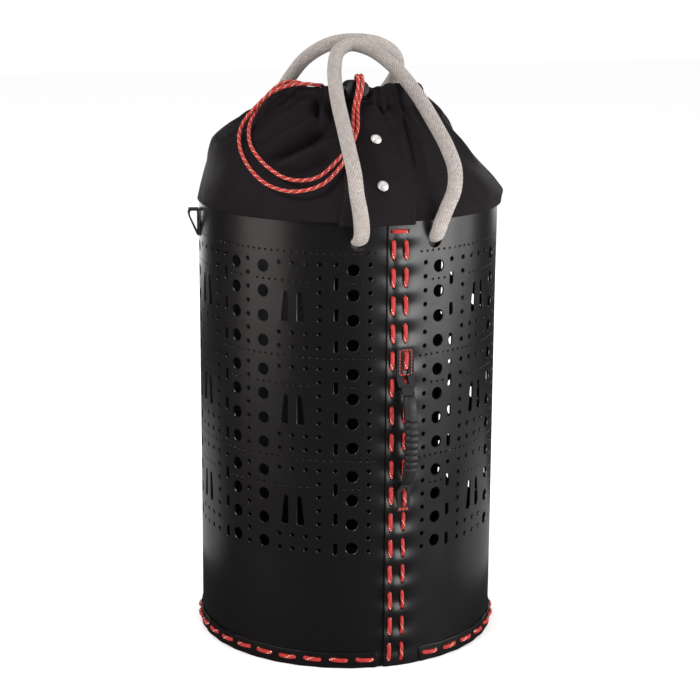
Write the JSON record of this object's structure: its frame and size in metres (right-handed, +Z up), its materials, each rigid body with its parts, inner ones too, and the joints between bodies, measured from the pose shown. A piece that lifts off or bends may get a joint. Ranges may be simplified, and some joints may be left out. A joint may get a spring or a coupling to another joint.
{
  "type": "rope storage bag",
  "caption": "Free-standing cylindrical rope bag with a perforated, laced shell, a gathered drawcord collar, rope carrying handles and a small rubber grab handle.",
  "frame": {"origin": "centre of the underside of the base, on the floor", "axes": "+Z up; -Y towards the laced seam and the grab handle; +X to the right when facing the seam"},
  "size_m": [0.32, 0.356, 0.6062],
  "materials": {
    "shell_plastic": "satin black polyethylene sheet",
    "base_plastic": "matt black",
    "lace_cord": "braided cord, orange-red with pale tracers",
    "collar_fabric": "matt black coated cloth",
    "webbing": "woven black webbing",
    "handle_rope": "braided warm grey rope",
    "grip_rubber": "ribbed, matt",
    "snap_metal": "bright nickel",
    "lock_plastic": "moulded black",
    "spring_steel": "drawn wire"
  },
  "bodies": {
    "bag": {"shell_wall": "shell_plastic", "base_disc": "base_plastic", "base_band": "shell_plastic", "base_lace": "lace_cord", "seam_lace": "lace_cord", "collar": "collar_fabric", "collar_flap": "collar_fabric", "snap_cap_upper": "snap_metal", "snap_cap_lower": "snap_metal", "snap_socket_upper": "snap_metal", "snap_socket_lower": "snap_metal", "drawcord_channel": "collar_fabric", "drawcord_ring": "lace_cord", "drawcord_strand_outer": "lace_cord", "drawcord_strand_inner": "lace_cord", "drawcord_knot": "lace_cord", "cord_lock_body": "lock_plastic", "cord_lock_spring": "spring_steel", "front_knot_left": "handle_rope", "front_knot_right": "handle_rope", "rear_knot_left": "handle_rope", "rear_knot_right": "handle_rope", "grab_tab_upper": "webbing", "grab_tab_lower": "webbing", "side_loop_left": "webbing", "side_loop_right": "webbing"},
    "front_handle": {"front_handle_rope": "handle_rope"},
    "rear_handle": {"rear_handle_rope": "handle_rope"},
    "grab_handle": {"grab_grip": "grip_rubber", "grab_strap_upper": "webbing", "grab_strap_lower": "webbing"},
    "lock_button": {"cord_lock_button": "lock_plastic"}
  },
  "joints": [
    {"name": "front_handle_hinge", "type": "hinge", "parent": "bag", "child": "front_handle", "pos_m": [0, -0.1545, 0.424], "axis": [1, 0, 0], "range_deg": [0, 140]},
    {"name": "rear_handle_hinge", "type": "hinge", "parent": "bag", "child": "rear_handle", "pos_m": [0, 0.1545, 0.424], "axis": [-1, 0, 0], "range_deg": [0, 140]},
    {"name": "grab_handle_swing", "type": "hinge", "parent": "bag", "child": "grab_handle", "pos_m": [0.0063, -0.1605, 0.2345], "axis": [0, 0, 1], "range_deg": [-45, 45]},
    {"name": "lock_button_press", "type": "slide", "parent": "bag", "child": "lock_button", "axis": [0, -1, 0], "range_m": [0, 0.003], "stiffness_N_per_m": 400, "springref_m": -0.003, "deforming": ["cord_lock_spring"]}
  ]
}
